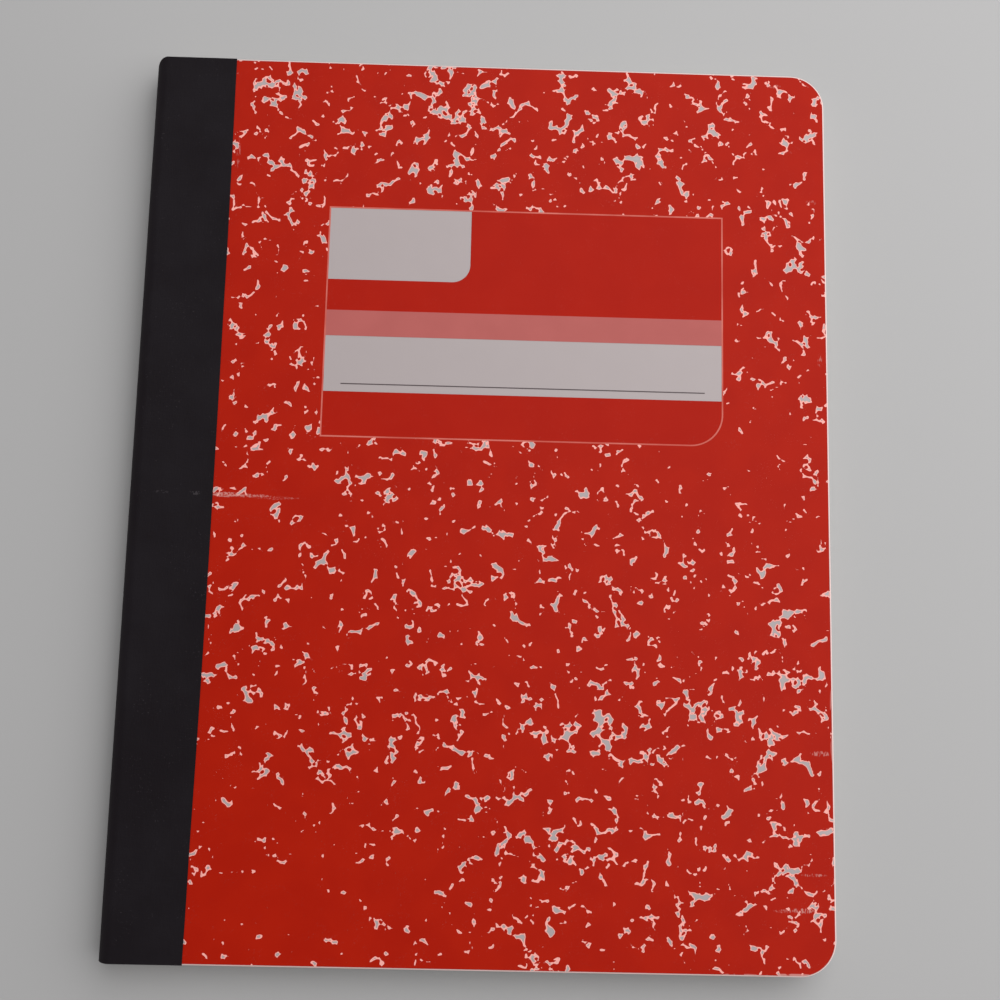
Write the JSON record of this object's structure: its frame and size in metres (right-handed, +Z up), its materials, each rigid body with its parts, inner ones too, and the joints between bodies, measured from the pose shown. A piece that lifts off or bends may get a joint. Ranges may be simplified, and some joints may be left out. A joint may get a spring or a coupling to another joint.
{
  "type": "composition notebook",
  "caption": "Sewn composition notebook: ruled pages folded in one section, two hinged board covers with marbled print and a bare label, and a tape round the spine.",
  "frame": {"origin": "under the middle of the closed notebook, on the surface that it lies on", "axes": "+X from the spine to the fore-edge, +Y to the head of the covers, +Z up through the pages to the front cover"},
  "size_m": [0.1906, 0.2476, 0.0102],
  "materials": {
    "pages": "uncoated white writing paper, printed with thin blue rules and a red margin line",
    "thread": "white twisted cotton",
    "tape": "matte black book tape with a very fine grain",
    "board": "white-faced paperboard, pale grey where it is cut",
    "liner": "smooth white lining paper",
    "red_ink": "red ink on paperboard, satin",
    "pale_ink": "pale pink ink line, satin",
    "pink_ink": "pink ink, satin",
    "grey_ink": "thin dark grey ink line"
  },
  "bodies": {
    "page_body": {"page_block": "pages", "binding_thread": "thread", "spine_tape": "tape"},
    "front_cover": {"front_board": "board", "front_liner": "liner", "front_print": "red_ink", "front_tape": "tape", "label_frame": "pale_ink", "label_print": "red_ink", "label_band": "pink_ink", "name_rule": "grey_ink"},
    "back_cover": {"back_board": "board", "back_liner": "liner", "back_print": "red_ink", "back_tape": "tape"}
  },
  "joints": [
    {"name": "front_cover_hinge", "type": "hinge", "parent": "page_body", "child": "front_cover", "pos_m": [-0.09175, 0, 0.01025], "axis": [0, -1, 0], "range_deg": [0, 180]},
    {"name": "back_cover_hinge", "type": "hinge", "parent": "page_body", "child": "back_cover", "pos_m": [-0.09175, 0, -0.00005], "axis": [0, 1, 0], "range_deg": [0, 180]}
  ]
}
